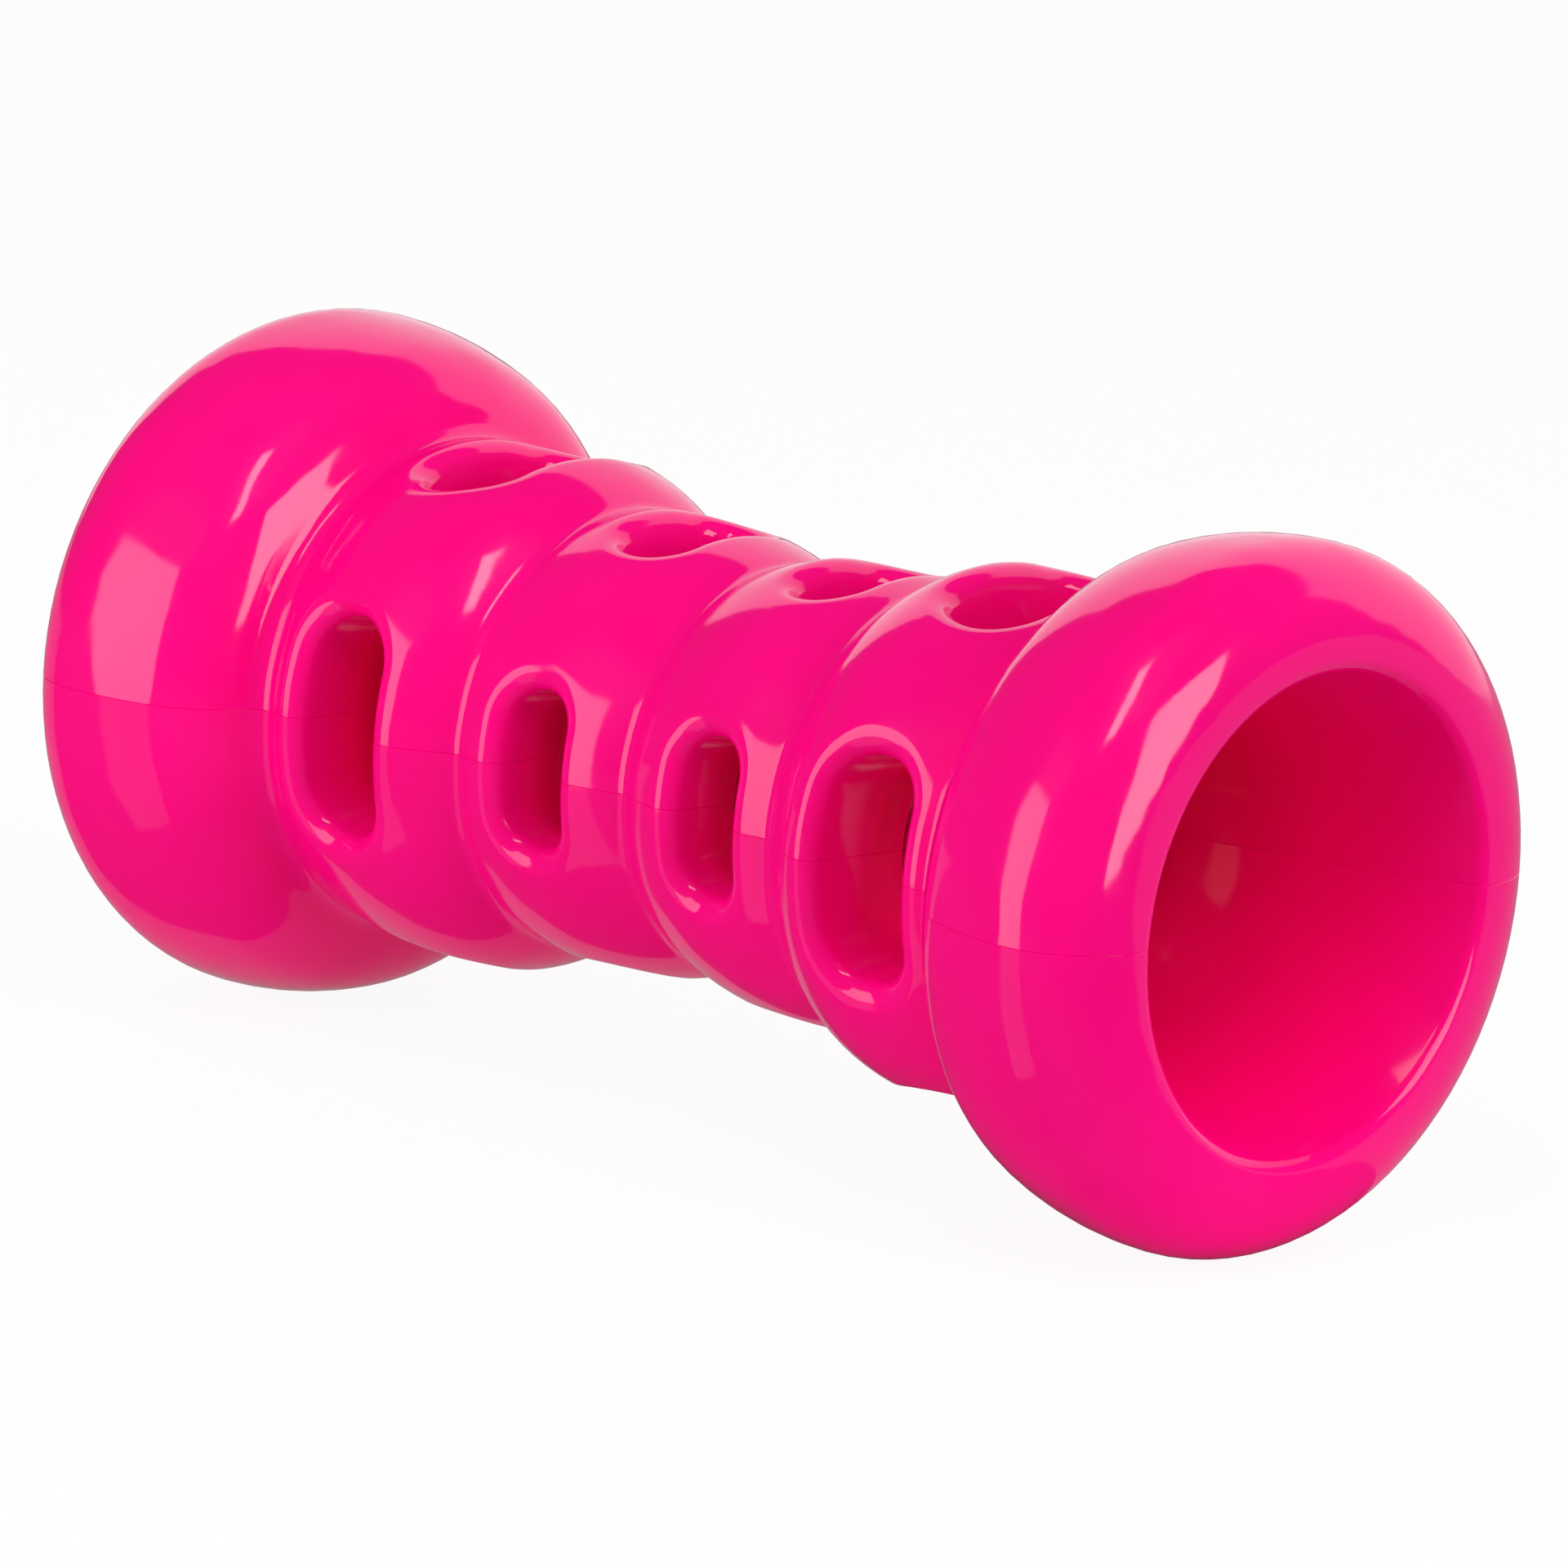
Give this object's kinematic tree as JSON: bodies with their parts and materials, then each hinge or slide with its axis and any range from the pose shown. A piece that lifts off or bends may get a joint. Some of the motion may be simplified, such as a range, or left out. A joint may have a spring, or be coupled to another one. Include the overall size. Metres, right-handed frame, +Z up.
{
  "type": "rubber chew toy",
  "caption": "Hollow dumbbell-shaped rubber dog chew with open bell ends and a ribbed barrel pierced by rounded slots.",
  "frame": {"origin": "bottom centre of the toy's box, on the surface it lies on", "axes": "+X along the toy's axis towards one mouth, +Z up, the seam between the halves level"},
  "size_m": [0.124, 0.06, 0.0598],
  "materials": {
    "rubber": "glossy pink rubber"
  },
  "bodies": {
    "root": {"upper_half": "rubber", "lower_half": "rubber"}
  },
  "joints": []
}
